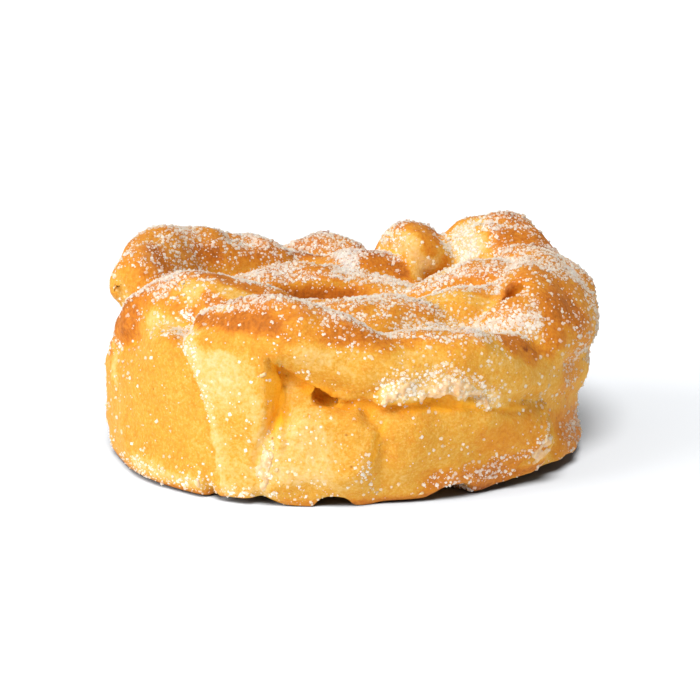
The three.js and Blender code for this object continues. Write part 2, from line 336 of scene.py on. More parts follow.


# Browning, with painted shade and painted light

# Strokes of baking, some of them painted shade and some painted light, as marked: a start, an end, a
# reach and how far it is baked there
BAKING_AND_PAINTED_LIGHT = [
    # Front left lobe: its shoulder, pale belly and smeared crest
    ((-45, -8, 27), (-41, -16, 30), 5.5, 0.73),
    ((-37, -24, 31), (-33, -28, 29), 3, 0.24),
    ((-30, -24, 36), (-21, -27, 36), 3.2, 0.2),
    ((-27, -20.3, 38.3), (-17, -23.6, 36.4), 2.3, 0.70),
    # Pale flap at the left edge, and the pale panel of the front wall
    ((-46.3, -9.5, 23), (-44.6, -15.5, 17.5), 1.5, 0.2),
    ((-21, -43, 15), (-19, -43.5, 4), 5, 0.33),
    # Front ridge, below its crest
    ((-29, -30, 32.5), (-22, -40.5, 34), 2.8, 0.80),
    ((-22, -40.5, 34), (-11, -45.5, 34), 2.8, 0.80),
    ((-11, -45.5, 34), (-3, -46, 31.5), 2.6, 0.5),
    ((-3, -45.5, 32.5), (9, -43.6, 30), 3, 0.68),
    ((-26, -27.5, 35.4), (-17, -39.5, 37.6), 2.6, 0.68),
    ((-26, -38, 30.4), (-14, -45.8, 30.2), 2.2, 0.44),
    # Paler, partly as painted light against the shade that falls on this part of the wall
    ((-9, -46.6, 28.6), (1, -46.9, 27.4), 2.6, 0.2),
    # Painted shade in the recess in the front wall: its top corner and its pit
    ((-13.6, -42, 26.2), (-12, -42, 25), 1.5, 0.74),
    ((-5, -44, 20.4), (-5, -38, 20.2), 2, 0.5),
    # Torn edges of the wall
    ((-15.4, -44.4, 13), (-14.8, -45.2, 3), 2.6, 0.22),
    ((6, -46.5, 22), (16, -45, 23), 1.8, 0.12),
    ((16, -45, 23), (26, -40, 19), 1.8, 0.14),
    ((-40, -25, 3.5), (-29, -37.6, 3), 2, 0.2),
    # Right shoulder, its rim knob, and the pit beside it
    ((43, -18, 27), (41, -18, 19), 6, 0.56),
    ((37.4, -20.6, 33.8), (37.6, -25.3, 28.6), 3.2, 0.72),
    ((39.5, -16, 33.5), (41, -19, 30.5), 3.6, 0.76),
    ((37.6, -25.3, 28.6), (36.4, -27.2, 26), 2.2, 0.62),
    ((34, -13, 35.5), (37, -15, 34), 3, 0.66),
    ((25, -40, 27.5), (29, -36, 26.5), 2.6, 0.30),
    ((28.6, -34, 28.4), (33, -30.8, 26.7), 3, 0.75),
    ((31, -33, 26.6), (32, -32.2, 25.4), 2, 0.62),
    # Painted shade: the darkest dot, where the pit beside the knob lies in shade
    ((31.4, -31.9, 27), (31.8, -31.5, 26.7), 0.7, 0.95),
    ((15, -15, 33), (25, -17, 32.6), 3.6, 0.33),
    ((24, -14, 34), (28, -16, 34), 1.6, 0.60),
    ((30, -18, 33.8), (31, -18, 30), 2.8, 0.92),
    # Back right peak, with a pale flank, and the nub beside it
    ((21, 19, 39.5), (23.5, 15, 35.5), 5, 0.02),
    ((18.6, 21, 37.2), (24.5, 22, 41), 2.8, 0.1),
    ((17, 12, 34), (20, 6, 34.5), 3.4, 0.2),
    ((32, 13.5, 39), (37.5, 9, 37.5), 2.8, 0.76),
    ((29, 21, 41.7), (33.5, 18.5, 40.8), 2.6, 0.74),
    ((6.2, 21.6, 37.6), (9.4, 16.6, 37.4), 3.2, 0.28),
    # Painted light: the nub's right face kept pale where it faces away from the key lamp
    ((13, 14, 37), (17, 9, 34.3), 4.6, 0.05),
    ((17, 9, 34.3), (19, 3, 34.4), 2.6, 0.26),
    ((12, 19, 40.8), (16.3, 16.8, 38.4), 2.2, 0.6),
    ((13, 18, 40), (15.8, 13.8, 36.8), 2, 0.52),
    # Tucked end
    ((3, 10.5, 33.8), (8.5, 13, 33.5), 2.6, 0.68),
    ((8.5, 13, 33.5), (9.8, 12, 32.4), 2, 0.84),
    ((12.6, 12.4, 34.2), (13.2, 11.4, 32.6), 1.8, 0.2),
    # Back left lobe and slanting strand
    ((-42, -2, 39.5), (-37, 1, 40.5), 5, 0.56),
    ((-37, 4, 41), (-28, 11, 39), 5, 0.56),
    ((-38, -1.5, 39), (-36, -3, 37.5), 2.4, 0.80),
    ((-29.5, 8, 37.5), (-27, 9, 36.5), 2, 0.80),
    ((-45, -4.5, 33), (-44, -4, 30), 4, 0.38),
    ((-20, 15, 37), (-15.5, 16, 35.5), 3, 0.70),
    # Lump on the middle ridge, and the far wall of the open middle, with painted shade at its foot
    # and over the floor of the open middle
    ((8, -21, 33.6), (12, -21, 33), 2.6, 0.56),
    ((-11, 1.8, 31.5), (0, 2.8, 31), 1.8, 0.36),
    ((-12, 1, 28.9), (0, 1.8, 28.6), 3.4, 0.82),
    ((-9, -4, 28.5), (2, -4, 28.5), 5, 0.6),
    # Back right foot
    ((40, -18, 8), (44, -6, 5), 6, 0.66),
    # Edge of the right foot, and its underside
    ((26, -39, 12), (34, -33, 12), 4.4, 0.52),
    ((14, -42.8, 4.4), (29, -34, 5.5), 2.4, 0.70),
    ((29, -34, 5.5), (35, -31.5, 9), 2.4, 0.62),
    ((14, -42, 1.5), (27, -33.4, 2), 2, 0.74),
    ((27, -33.4, 2), (35, -28.5, 3.5), 1.8, 0.7),
    # Front foot and the wall above it, a little paler than the rest, partly as painted light against
    # the shade on this side, with a browned edge
    ((-9, -46, 15), (-8, -47, 5), 6, 0.2),
    ((0, -46, 27), (14, -44, 27), 3.5, 0.28),
    ((-14, -45.2, 3), (-5, -45.4, 2.8), 2.2, 0.42),
]

WALL_BAKED = 0.37  # how far the wall is baked where no stroke says otherwise
# What is added to that
# Painted shade: darker on the left, against the light that falls most on that side
LEFT_PAINTED_SHADE = 0.04  # on the left
TOP_BAKED = 0.22  # on the top
BACK_BAKED = 0.25  # in patches of the back's top
BACK_UNEVEN = 0.17  # up and down over the back
RIM_BAKED = 0.35  # along the underside's edge
CREST_BAKED = 0.3  # for each millimetre that a crest stands out
UNEVEN = 0.05  # up and down all over
MOST_BAKED = 0.95
# Painted shade on the right of the laps, and the paler panel beside the left crease: a width and a
# level of baking
LAP_SHADE_AND_PANEL = {
    "left crease": (15, 0.13),
    # Lighter in the recess's side as painted light against its shade; darker below the recess lip,
    # the belt and the foot crease as painted shade. The panel right of the left crease is its own
    # paler colour.
    "recess side": (2.6, 0.26),
    "recess lip": (2, 0.46),
    "belt": (1, 0.5),
    "foot crease": (0.7, 0.46),
}


def lap_shade_and_panel(dough, baked_and_painted_light):
    """Painted shade, and the paler panel, drawn to a level on the right of each lap, from a crisp
    line to a soft end.
    """
    wall = on_wall(dough)
    for name, (width, level) in LAP_SHADE_AND_PANEL.items():
        nearest, left = beside(dough, LAPS[name][0])
        share = wall * (1 - left) * (1 - ramp(nearest, 0.5 * width, width))
        baked_and_painted_light = baked_and_painted_light + share * (level - baked_and_painted_light)
    return baked_and_painted_light


def browning_and_painted_light(dough, hollow):
    """How far each point is baked, from 0, pale crumb, to 1, dark brown, with painted shade and
    painted light drawn into it where the strokes and laps are marked so.
    """
    up = dough.normals[:, 2]
    height = dough.points[:, 2]
    bare = WALL_BAKED + LEFT_PAINTED_SHADE * ramp(-dough.points[:, 0], 26, 34)
    baked_and_painted_light = lap_shade_and_panel(dough, bare + TOP_BAKED * ramp(height, 27, 35) * ramp(up, 0, 0.7))
    patches = ramp(noise(dough.points, length=10, seed=14), 0.2, 0.8) * ramp(height, 24, 34)
    behind = ramp(dough.points[:, 1], 0, 20)
    waves = noise(dough.points, length=8, seed=15)
    baked_and_painted_light += (BACK_BAKED * patches + BACK_UNEVEN * waves) * behind
    baked_and_painted_light = painted(dough, baked_and_painted_light, BAKING_AND_PAINTED_LIGHT)
    baked_and_painted_light += RIM_BAKED * ramp(-height, -2.4, -0.6)
    baked_and_painted_light += CREST_BAKED * np.clip(-hollow, -0.1, 0.3) * ramp(height, 20, 30)
    baked_and_painted_light += UNEVEN * rough_noise(dough.points, length=9, seed=11)
    return np.clip(baked_and_painted_light, 0, MOST_BAKED)


# Painted bounce light: colour painted into folds, where light goes from dough to dough and takes its
# colour

# Strokes of painted bounce light: a start, an end, a reach and a level
PAINTED_BOUNCE_STROKES = [
    # Recess in the front wall: its left side, below its lip, and its pit
    ((-13.4, -42, 25.6), (-13.2, -43, 15.5), 1.7, 0.9),
    ((-12.5, -42, 24.5), (-6, -42.5, 21.2), 1.6, 0.7),
    ((-5, -44, 20.4), (-5, -38, 20.2), 2, 0.55),
    # Below the belt
    ((0, -46.5, 19.4), (8, -46, 19.2), 0.9, 0.5),
    ((8, -46, 19.2), (21, -42, 18.8), 1.1, 0.6),
    ((21, -42, 18.8), (34, -32, 16.2), 1, 0.5),
    # Between the front and right feet, and on the right edge of the pale panel
    ((3.3, -47, 9), (5.8, -46.6, 18), 0.8, 0.5),
    ((-14.6, -43.6, 25), (-14.8, -44, 15), 1.2, 0.6),
]
# Painted bounce light in deep creases
CREASE_PAINTED_BOUNCE = 0.5  # in deep creases


def painted_bounce_light(dough, hollow):
    """How far the colour of each point is warmed by painted bounce light from the folds around it,
    from 0 to 1.
    """
    return np.clip(painted(dough, CREASE_PAINTED_BOUNCE * ramp(hollow, 0.15, 0.5), PAINTED_BOUNCE_STROKES), 0, 1)


# Sugar

# Strokes of sugar: a start, an end, a reach and how much of it lies there
SUGARED = [
    # Front left lobe: bare belly and shoulder, sugar along the crest
    ((-45, -8, 25), (-40, -19, 29), 6, 0.02),
    ((-39, -20, 31), (-34, -26, 32), 3, 0.08),
    ((-30, -23, 36), (-22, -26, 36), 3.4, 0.09),
    ((-42, -12.5, 32.5), (-35, -15.5, 37.2), 1.4, 0.5),
    ((-35, -15.5, 37.2), (-27, -17, 38.6), 1.4, 0.55),
    ((-26.5, -20.6, 38.2), (-17, -23.6, 36.4), 2, 0.04),
    # Front ridge: bare below the crest, thick sugar along it
    ((-29, -31, 32), (-23, -40, 33), 3, 0.04),
    ((-23, -40, 33), (-12, -46, 33.5), 3, 0.03),
    ((-12, -46, 33.5), (-2, -46.5, 31.5), 3, 0.06),
    ((-2, -45.5, 32), (10, -44, 29.5), 3, 0.10),
    ((-30, -26, 34.5), (-25, -27, 36), 1.2, 0.25),
    ((-26, -27.5, 35.4), (-18, -39, 37.4), 2.2, 0.2),
    ((-18, -38, 37.6), (-8, -40, 37.2), 1.6, 0.36),
    ((-8, -39, 37.4), (2, -38, 34.2), 1.5, 0.44),
    ((2, -38, 34.2), (10, -36, 31.8), 1.8, 0.5),
    # Valleys and drifts of the top
    ((12, -28, 31), (34, -27, 30), 3.6, 0.8),
    ((-1.5, 14, 35.5), (0, 9.5, 33.5), 2.8, 1),
    ((-2, 5.5, 32.8), (10, 5, 32), 2, 0.8),
    ((15, -2, 33), (24.5, -2, 36.3), 1.4, 0.6),
    ((24.5, -2, 36.3), (37.5, -7, 38), 1.8, 0.42),
    ((-10.5, 29, 34.6), (-2.4, 30.3, 35.2), 5, 0.36),
    ((37.5, -7, 38), (43, -6, 35), 2, 0.4),
    ((6, -20.5, 33.8), (13, -20.5, 33), 2.8, 0.42),
    ((-14, 3.6, 33), (4, 4.6, 32.6), 1.5, 0.45),
    # Strands of the top that are bare or thinly covered
    ((15, -15, 33), (25, -17, 32.6), 3, 0.07),
    ((34, -13, 35.5), (41, -19, 29), 5, 0.05),
    ((37.5, -20.5, 33.8), (37, -26.5, 27), 3, 0.05),
    ((30, -17.5, 34), (31, -18, 30), 2.4, 0),
    ((43, -19, 26), (42, -18, 20), 5, 0.14),
    ((46.5, -7, 33), (46, -10, 22), 3.4, 0.26),
    ((28.6, -34, 28.4), (33.5, -30, 26.4), 3.2, 0.01),
    ((25, -40, 27.5), (29, -36, 26.5), 2.6, 0.05),
    ((11, 17, 38.5), (16, 11, 34.4), 4.2, 0.05),
    ((16, 11, 34.4), (18.5, 4, 34.5), 2.6, 0.12),
    ((6.3, 21.4, 38.2), (9, 17.4, 38.4), 2.2, 0.4),
    ((12, 19, 40.6), (16, 17, 38.6), 2.8, 0.05),
    ((3.4, 10.5, 33.8), (10.5, 12, 32.5), 2.8, 0.03),
    ((-20, 15, 37), (-15.5, 16, 35.5), 2.6, 0.2),
    ((-42, -2, 39), (-35, -2, 37.6), 4.5, 0.22),
    ((-35, 3, 39), (-27, 9.5, 37), 4.5, 0.22),
    ((-36.5, -2.8, 37), (-35.8, -2.8, 36.8), 1.4, 0.05),
    ((-28.5, 8, 36.3), (-27.5, 8.4, 36), 1.4, 0.05),
    ((-45, -4.5, 33), (-44, -4, 30), 4, 0.05),
    ((-11, 1.8, 31), (0, 2.6, 30.5), 1.8, 0.16),
    ((-11, 1.6, 29.4), (-1, 2.4, 29), 2, 0),
    # Back right peak: fine sugar on the left, a bare band between drifts on the right
    ((20, 20, 39), (23.5, 15, 35.5), 4, 0.5),
    ((18.6, 21, 37.2), (25, 22, 41.2), 2.4, 0.4),
    ((28, 21, 42), (34, 16.5, 40.3), 2.2, 0.25),
    ((32, 13.5, 39), (37.5, 9, 37.5), 2.8, 0.03),
    # Lips and edges of the wall
    ((-44.4, -9.6, 25), (-43.4, -12.6, 23), 1.3, 0.35),
    ((6, -46.5, 22.5), (16, -45, 24.5), 2.6, 0.4),
    ((16, -45, 24.5), (26, -40, 20), 2.6, 0.4),
    ((-31, -27.5, 32.3), (-29.4, -37, 28), 1.5, 0.5),
    ((-29.4, -37, 28), (-25.4, -40, 15.6), 1, 0.2),
    ((-15, -44.8, 12), (-14.4, -45.4, 3), 2.6, 0.13),
    ((-9, -46, 15), (-8, -47, 5), 6, 0.045),
    # Along the underside's edge
    ((-40, -25, 3), (-29, -37.6, 2.5), 2, 0.16),
    ((-27, -39, 2.4), (-18, -43.6, 2.4), 1.6, 0.22),
    ((-14, -45.2, 3), (-5, -45.4, 2.8), 2, 0.11),
    ((-1, -47.3, 1), (10, -46.5, 1), 1.2, 0.45),
    ((2.3, -47, 6), (2, -47, 10), 1.2, 0.3),
    ((14, -42.8, 4), (21.6, -38.6, 5), 2.1, 0.22),
    ((21.6, -38.6, 5), (29, -34, 5.5), 2.5, 0.22),
    ((29, -34, 5.5), (34, -32, 8), 2.4, 0.18),
    ((34, -32, 8), (36, -31, 11.5), 1.8, 0.26),
    ((40, -18, 6), (43, -9, 6), 4.5, 0.13),
    # Clump on the recess's lip
    ((-9, -45, 25), (-8, -45, 24.5), 1.2, 0.5),
    # Recess and its pit, out of reach of the sugar
    ((-13, -42, 25), (-4, -42, 20.5), 2.2, 0),
    ((-13, -42.5, 24), (-13, -43, 14), 1.8, 0),
    ((-5, -43, 20.4), (-5, -36, 20.2), 2.4, 0),
    ((-1, -45, 19.6), (12, -44, 19.4), 1.2, 0.02),
    ((12, -44, 19.4), (34, -30, 15.6), 1.2, 0.02),
    ((34, -31, 15.6), (36, -27, 15.6), 2, 0.05),
]

TOP_SUGAR = 0.3  # cover of the top where no stroke says otherwise
TOP_DRIFTS = 0.45  # up and down over the top
TOP_LEAST = 0.06
CREASE_SUGAR = 0.3  # more cover in the top's creases
WALL_SUGAR = 0.016  # single grains on the wall
WALL_LEAST = 0.004
FOOT_SUGAR = 0.4  # cover near the underside, which was set down in sugar
FOOT_LEFT = 0.4  # share of that on the left


def sugaring(dough, hollow):
    """How much sugar lies at each point, from 0 to 1."""
    up = dough.normals[:, 2]
    height = dough.points[:, 2]
    top = ramp(up, 0.45, 0.9) * ramp(height, 22, 28)
    drifts = TOP_DRIFTS * rough_noise(dough.points, length=5, seed=21)
    patches = np.clip(TOP_SUGAR + drifts, TOP_LEAST, 1)
    creases = ramp(hollow, 0.05, 0.4) * ramp(up, 0.2, 0.6) * ramp(height, 26, 30)
    uneven = 1 + rough_noise(dough.points, length=7, seed=24)
    sparse = np.clip(WALL_SUGAR * uneven, WALL_LEAST, 1)
    clumps = ramp(noise(dough.points, length=4, seed=25), -0.4, 0.6)
    foot = FOOT_SUGAR * ramp(-height, -5, -0.5) * clumps
    foot *= FOOT_LEFT + (1 - FOOT_LEFT) * ramp(dough.points[:, 0], -30, 0)
    cover = np.clip(top * patches + CREASE_SUGAR * creases, 0, 1) + sparse + foot
    return np.clip(painted(dough, cover, SUGARED), 0, 1) * (1 - ramp(-up, 0.6, 0.9))


RAGGED = 0.3  # how far the edge of a stroke wanders, in shares of its reach


def make_crust():
    crust = placed("crust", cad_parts["bun"].data.copy())
    crust.data = evenly(crust, VOXEL)
    dough = Surface(crust.data)
    soften(dough)
    dough.ragged = RAGGED * rough_noise(dough.points, length=2.4, seed=12)
    wrinkle(dough)
    dough.points[:, 2] = np.maximum(dough.points[:, 2], 0)
    hollow = dough.spread(dough.hollowness(rounds=10), rounds=2)
    dough.baked_and_painted_light = browning_and_painted_light(dough, hollow)
    dough.sugar = sugaring(dough, hollow)
    # Baking, with the painted shade and painted light drawn into it
    keep(crust.data, "baked_and_painted_light", dough.baked_and_painted_light)
    keep(crust.data, "sugar", dough.sugar)
    # Painted bounce light of the folds, kept for the crust's colour
    keep(crust.data, "painted_bounce", painted_bounce_light(dough, hollow))
    dough.write()
    return crust, dough


# Grains

CUBE = np.array(list(itertools.product((-0.5, 0.5), repeat=3)))
CUBE_FACES = np.array([
    [0, 1, 3, 2], [4, 6, 7, 5], [0, 4, 5, 1], [2, 3, 7, 6], [0, 2, 6, 4], [1, 5, 7, 3]])
DIAMOND = 0.6 * np.array([
    [1, 0, 0], [-1, 0, 0], [0, 1, 0], [0, -1, 0], [0, 0, 1], [0, 0, -1]])
DIAMOND_FACES = np.array([
    [0, 2, 4], [2, 1, 4], [1, 3, 4], [3, 0, 4], [2, 0, 5], [1, 2, 5], [3, 1, 5], [0, 3, 5]])
SPLINTER = 0.5 * np.array([[1, 1, 1], [1, -1, -1], [-1, 1, -1], [-1, -1, 1]])
SPLINTER_FACES = np.array([[0, 1, 2], [0, 2, 3], [0, 3, 1], [1, 3, 2]])
CLEARANCE = 0.05  # of every grain above the floor


def round_lump():
    """Corners and faces of a ball about 1 across."""
    ball = bmesh.new()
    bmesh.ops.create_icosphere(ball, subdivisions=2, radius=0.5)
    corners = np.array([vertex.co[:] for vertex in ball.verts])
    faces = np.array([[vertex.index for vertex in face.verts] for face in ball.faces])
    ball.free()
    return corners, faces


# Kinds of grain: a form and its faces, a seed, a number on each square millimetre where the cover
# is full, a power of the cover, the least and greatest size, the least and greatest share sunk
# into the crust, a tilt, and how uneven the form is.
LOOSE_GRAINS = {
    "coarse_sugar": SimpleNamespace(
        form=CUBE, faces=CUBE_FACES, seed=31, density=3.4, power=1, size=(0.30, 0.62),
        sunk=(0.25, 0.65), tilt=0.5, uneven=0.15),
    "fine_sugar": SimpleNamespace(
        form=DIAMOND, faces=DIAMOND_FACES, seed=32, density=5, power=1, size=(0.24, 0.44),
        sunk=(0.2, 0.6), tilt=0.8, uneven=0.2),
    "sugar_dust": SimpleNamespace(
        form=SPLINTER, faces=SPLINTER_FACES, seed=34, density=9, power=1.5, size=(0.14, 0.32),
        sunk=(0.2, 0.6), tilt=0.8, uneven=0.2),
}
LUMP, LUMP_FACES = round_lump()
CAKE_LUMPS = SimpleNamespace(
    form=LUMP, faces=LUMP_FACES, seed=33, density=4, power=1, size=(0.7, 1.9),
    sunk=(0.6, 0.95), tilt=0.6, uneven=0.35)


class Strewn:
    """Places on the surface, by a number on each square millimetre, with what is known there."""

    def __init__(self, dough, density, rng):
        corners = dough.points[dough.triangles]
        sides = corners[:, 1:] - corners[:, :1]
        area = np.linalg.norm(np.cross(sides[:, 0], sides[:, 1]), axis=1)
        weight = 0.5 * area * density[dough.triangles].mean(axis=1)
        count = int(weight.sum())
        chosen = rng.choice(len(weight), count, p=weight / weight.sum())
        share = rng.dirichlet((1, 1, 1), count)[:, :, None]
        self.count = count
        self.places = np.sum(corners[chosen] * share, axis=1)
        normals = np.sum(dough.normals[dough.triangles[chosen]] * share, axis=1)
        self.normals = normals / np.linalg.norm(normals, axis=1, keepdims=True)
        self.baked_and_painted_light = dough.baked_and_painted_light[dough.triangles[chosen]].mean(axis=1)
        self.sugar = dough.sugar[dough.triangles[chosen]].mean(axis=1)


def turned(normals, tilt, rng):
    """For each normal, three axes with the third near the normal and a random turn about it."""
    up = normals + tilt * rng.normal(size=normals.shape)
    up /= np.linalg.norm(up, axis=1, keepdims=True)
    side = np.cross(up, rng.normal(size=up.shape))
    side /= np.linalg.norm(side, axis=1, keepdims=True)
    return np.stack([side, np.cross(up, side), up], axis=1)


def grain_sizes(count, low, high, rng):
    """Three sizes for each grain: near cubes, a little flat."""
    size = low + (high - low) * rng.beta(2, 3, count)
    return size[:, None] * rng.uniform(0.75, 1.15, (count, 3))


SHEEN = 0.55  # how far a grain shines as the crust below it does, for light that passes through it
SHINE = 0.25  # how far it shines as a level face does, for light that comes from above
WHITE_BY_CHANCE = 0.8  # how white a grain is at most, by chance
WHITE_IN_DRIFTS = 0.6  # how much whiter it is where sugar lies thick


def shining(strewn, points, middles):
    """Normals of the corners of grains, drawn towards the crust's below them and the level's."""
    own = points - middles[:, None]
    own /= np.linalg.norm(own, axis=2, keepdims=True)
    normals = SHEEN * strewn.normals[:, None] + (1 - SHEEN - SHINE) * own + (0, 0, SHINE)
    return normals / np.linalg.norm(normals, axis=2, keepdims=True)


def grains_on(surface, cover, name, kind):
    """One mesh of many grains of a kind on a surface, each sunk in by a share of its height."""
    rng = np.random.default_rng(kind.seed)
    strewn = Strewn(surface, kind.density * cover ** kind.power, rng)
    sizes = grain_sizes(strewn.count, *kind.size, rng)
    corners = len(kind.form)
    uneven = 1 + kind.uneven * rng.uniform(-1, 1, (strewn.count, corners, 1))
    shapes = kind.form[None] * uneven * sizes[:, None, :]
    lift = sizes[:, 2:] * (0.5 - rng.uniform(*kind.sunk, (strewn.count, 1)))
    middles = strewn.places + strewn.normals * lift
    axes = turned(strewn.normals, kind.tilt, rng)
    points = middles[:, None] + np.einsum("nck,nkj->ncj", shapes, axes)
    white = WHITE_BY_CHANCE * rng.uniform(0, 1, strewn.count) + WHITE_IN_DRIFTS * strewn.sugar
    kept = points[:, :, 2].min(axis=1) > CLEARANCE
    starts = corners * np.arange(np.count_nonzero(kept))
    faces = (kind.faces[None] + starts[:, None, None]).reshape(-1, kind.faces.shape[1])
    mesh = bpy.data.meshes.new(name)
    mesh.from_pydata(points[kept].reshape(-1, 3) * MM, [], faces.tolist())
    keep(mesh, "baked_and_painted_light", np.repeat(strewn.baked_and_painted_light[kept], corners))
    keep(mesh, "white", np.repeat(white[kept], corners))
    mesh.shade_smooth()
    mesh.update()
    normals = shining(strewn, points, middles)[kept]
    mesh.normals_split_custom_set_from_vertices(normals.reshape(-1, 3))
    return placed(name, mesh)


def loose_sugar(surface, name, kind):
    """A piece of clear grains, which lets light through to what lies below them."""
    grains = grains_on(surface, surface.sugar, name, kind)
    grains.visible_shadow = False
    grains.visible_diffuse = False
    return grains


# Strokes of caked sugar: a start, an end, a reach and how much of it lies there
CAKED = [
    # The lip of the wall, in two runs
    ((5.8, -46.4, 20.8), (9.3, -46.2, 21.9), 1, 1),
    ((9.3, -46.2, 21.9), (10.8, -45.8, 23.6), 0.9, 0.8),
    ((12.8, -45.5, 20.9), (15.5, -44.8, 21.8), 0.9, 1),
    ((15.5, -44.8, 21.8), (18.2, -43.8, 23.2), 1.3, 1),
    ((18.2, -43.8, 23), (21.3, -42.4, 21), 1.4, 1),
    ((21.3, -42.4, 21), (25, -40.3, 18.8), 1.2, 0.9),
    # Edges of the front and right feet
    ((-15.2, -45, 12), (-15.8, -44.8, 8), 1.2, 0.5),
    ((-15.8, -44.8, 8), (-15.4, -45.2, 3.5), 1.5, 0.5),
    ((-28.2, -38.2, 1), (-28, -38.4, 3), 1, 0.5),
    ((36, -30.6, 9.6), (34.6, -31.4, 6.6), 1.5, 1),
    # Clumps along the left crease, beside the recess and on the left panel
    ((-31, -28, 32), (-30, -34, 29.6), 1, 0.25),
    ((-16.2, -44.6, 26.2), (-15.8, -44.6, 25.2), 0.8, 0.4),
    ((-9, -45, 25), (-8, -45, 24.5), 0.8, 0.8),
    ((-43.1, -20, 9), (-42.7, -20.8, 8.4), 0.8, 0.4),
    ((-40.2, -25.2, 5), (-39.8, -26, 4.2), 0.9, 0.4),
    # Ledge of the back left lobe
    ((-46, -2, 35), (-45.5, -4, 33.5), 1.4, 0.2),
]
CAKE_AT_FOOT = 0.01  # cover near the underside
CAKE_VOXEL = 0.26  # spacing of its points
CAKE_RELIEF = 0.3  # height of its finer lumps
CAKE_BAKED = 0.02  # how far it counts as baked, for the colour of the grains on it
CAKE_SUGAR = 0.12  # cover of those grains


def caked_sugar(dough):
    """Sugar caked on the lips and edges of the wall, as lumps melted together."""
    foot = CAKE_AT_FOOT * ramp(-dough.points[:, 2], -4, -1.5)
    cover = painted(dough, foot, CAKED)
    lumps = grains_on(dough, cover, "caked_sugar", CAKE_LUMPS)
    lumps.data = evenly(lumps, CAKE_VOXEL)
    cake = Surface(lumps.data)
    cake.points = cake.spread(cake.points, rounds=3)
    cake.turn_normals()
    cake.push(CAKE_RELIEF * rough_noise(cake.points, length=0.9, seed=35, octaves=2))
    cake.points[:, 2] = np.maximum(cake.points[:, 2], CLEARANCE)
    cake.write()
    cake.normals = cake.spread(cake.normals, rounds=10)
    cake.normals /= np.linalg.norm(cake.normals, axis=1, keepdims=True)
    cake.baked_and_painted_light = np.full(cake.count, CAKE_BAKED)
    cake.sugar = CAKE_SUGAR * ramp(cake.normals[:, 2], -0.3, 0.3)
    return lumps, cake


def ground(dough, cake):
    """Crust and caked sugar as one surface for the grains to lie on."""
    both = SimpleNamespace()
    for name in ("points", "normals", "baked_and_painted_light", "sugar"):
        setattr(both, name, np.concatenate([getattr(dough, name), getattr(cake, name)]))
    both.triangles = np.concatenate([dough.triangles, cake.triangles + dough.count])
    return both


# Finishes

def node(tree, kind, **values):
    made = tree.nodes.new(kind)
    for key, value in values.items():
        setattr(made, key, value)
    return made


def join(tree, source, target):
    tree.links.new(source, target)


def read(tree, name):
    """A value stored on the mesh."""
    return node(tree, "ShaderNodeAttribute", attribute_name=name).outputs["Fac"]


def speckle(tree, length, detail):
    """Noise with blotches of about a length in mm."""
    place = node(tree, "ShaderNodeTexCoord")
    made = node(tree, "ShaderNodeTexNoise")
    made.inputs["Scale"].default_value = 1 / (length * MM)
    made.inputs["Detail"].default_value = detail
    join(tree, place.outputs["Object"], made.inputs["Vector"])
    return made.outputs["Fac"]


def mapped(tree, source, low, high, to_low, to_high):
    """A value moved from one range to another and kept inside it."""
    made = node(tree, "ShaderNodeMapRange")
    ends = {"From Min": low, "From Max": high, "To Min": to_low, "To Max": to_high}
    for name, value in ends.items():
        made.inputs[name].default_value = value
    join(tree, source, made.inputs["Value"])
    return made.outputs["Result"]


def reckoned(tree, operation, first, second):
    """A sum or product of two values, each a socket or a number."""
    made = node(tree, "ShaderNodeMath", operation=operation)
    for socket, value in zip(made.inputs, (first, second)):
        if isinstance(value, bpy.types.NodeSocket):
            join(tree, value, socket)
        else:
            socket.default_value = value
    return made.outputs[0]


def mixed(tree, share, first, second):
    """Two colours mixed, each a socket or a plain colour."""
    made = node(tree, "ShaderNodeMix", data_type="RGBA")
    join(tree, share, made.inputs["Factor"])
    for name, colour in (("A", first), ("B", second)):
        if isinstance(colour, bpy.types.NodeSocket):
            join(tree, colour, made.inputs[name])
        else:
            made.inputs[name].default_value = (*colour, 1)
    return made.outputs["Result"]


def bumped(tree, shader, height, strength, distance):
    bump = node(tree, "ShaderNodeBump")
    bump.inputs["Strength"].default_value = strength
    bump.inputs["Distance"].default_value = distance * MM
    join(tree, height, bump.inputs["Height"])
    join(tree, bump.outputs["Normal"], shader.inputs["Normal"])


def new_finish(name):
    finish = bpy.data.materials.new(name)
    finish.use_nodes = True
    tree = finish.node_tree
    return finish, tree, tree.nodes["Principled BSDF"]


BAKED_COLOURS = [
    (0.00, (0.80, 0.58, 0.30)),
    (0.18, (0.74, 0.45, 0.13)),
    (0.34, (0.68, 0.335, 0.036)),
    (0.52, (0.65, 0.25, 0.018)),
    (0.72, (0.54, 0.16, 0.010)),
    (1.00, (0.26, 0.06, 0.005)),
]
SUGAR_WHITE = (0.90, 0.755, 0.635)
SPECK_CREAM = (0.84, 0.55, 0.17)
CAKED_CREAM = (0.68, 0.39, 0.15)
CAKED_WHITE = (0.84, 0.60, 0.35)
# Colour of the painted bounce light in folds
BOUNCE_OCHRE = (0.95, 0.42, 0.012)
PORE_BROWN = (0.42, 0.13, 0.02)
PORE_CELLS = 280  # to a metre
# How far dust, specks and pores hide the colour below them
DUST_MOST = 0.45
SPECK_MOST = 0.4
PORE_MOST = 0.8


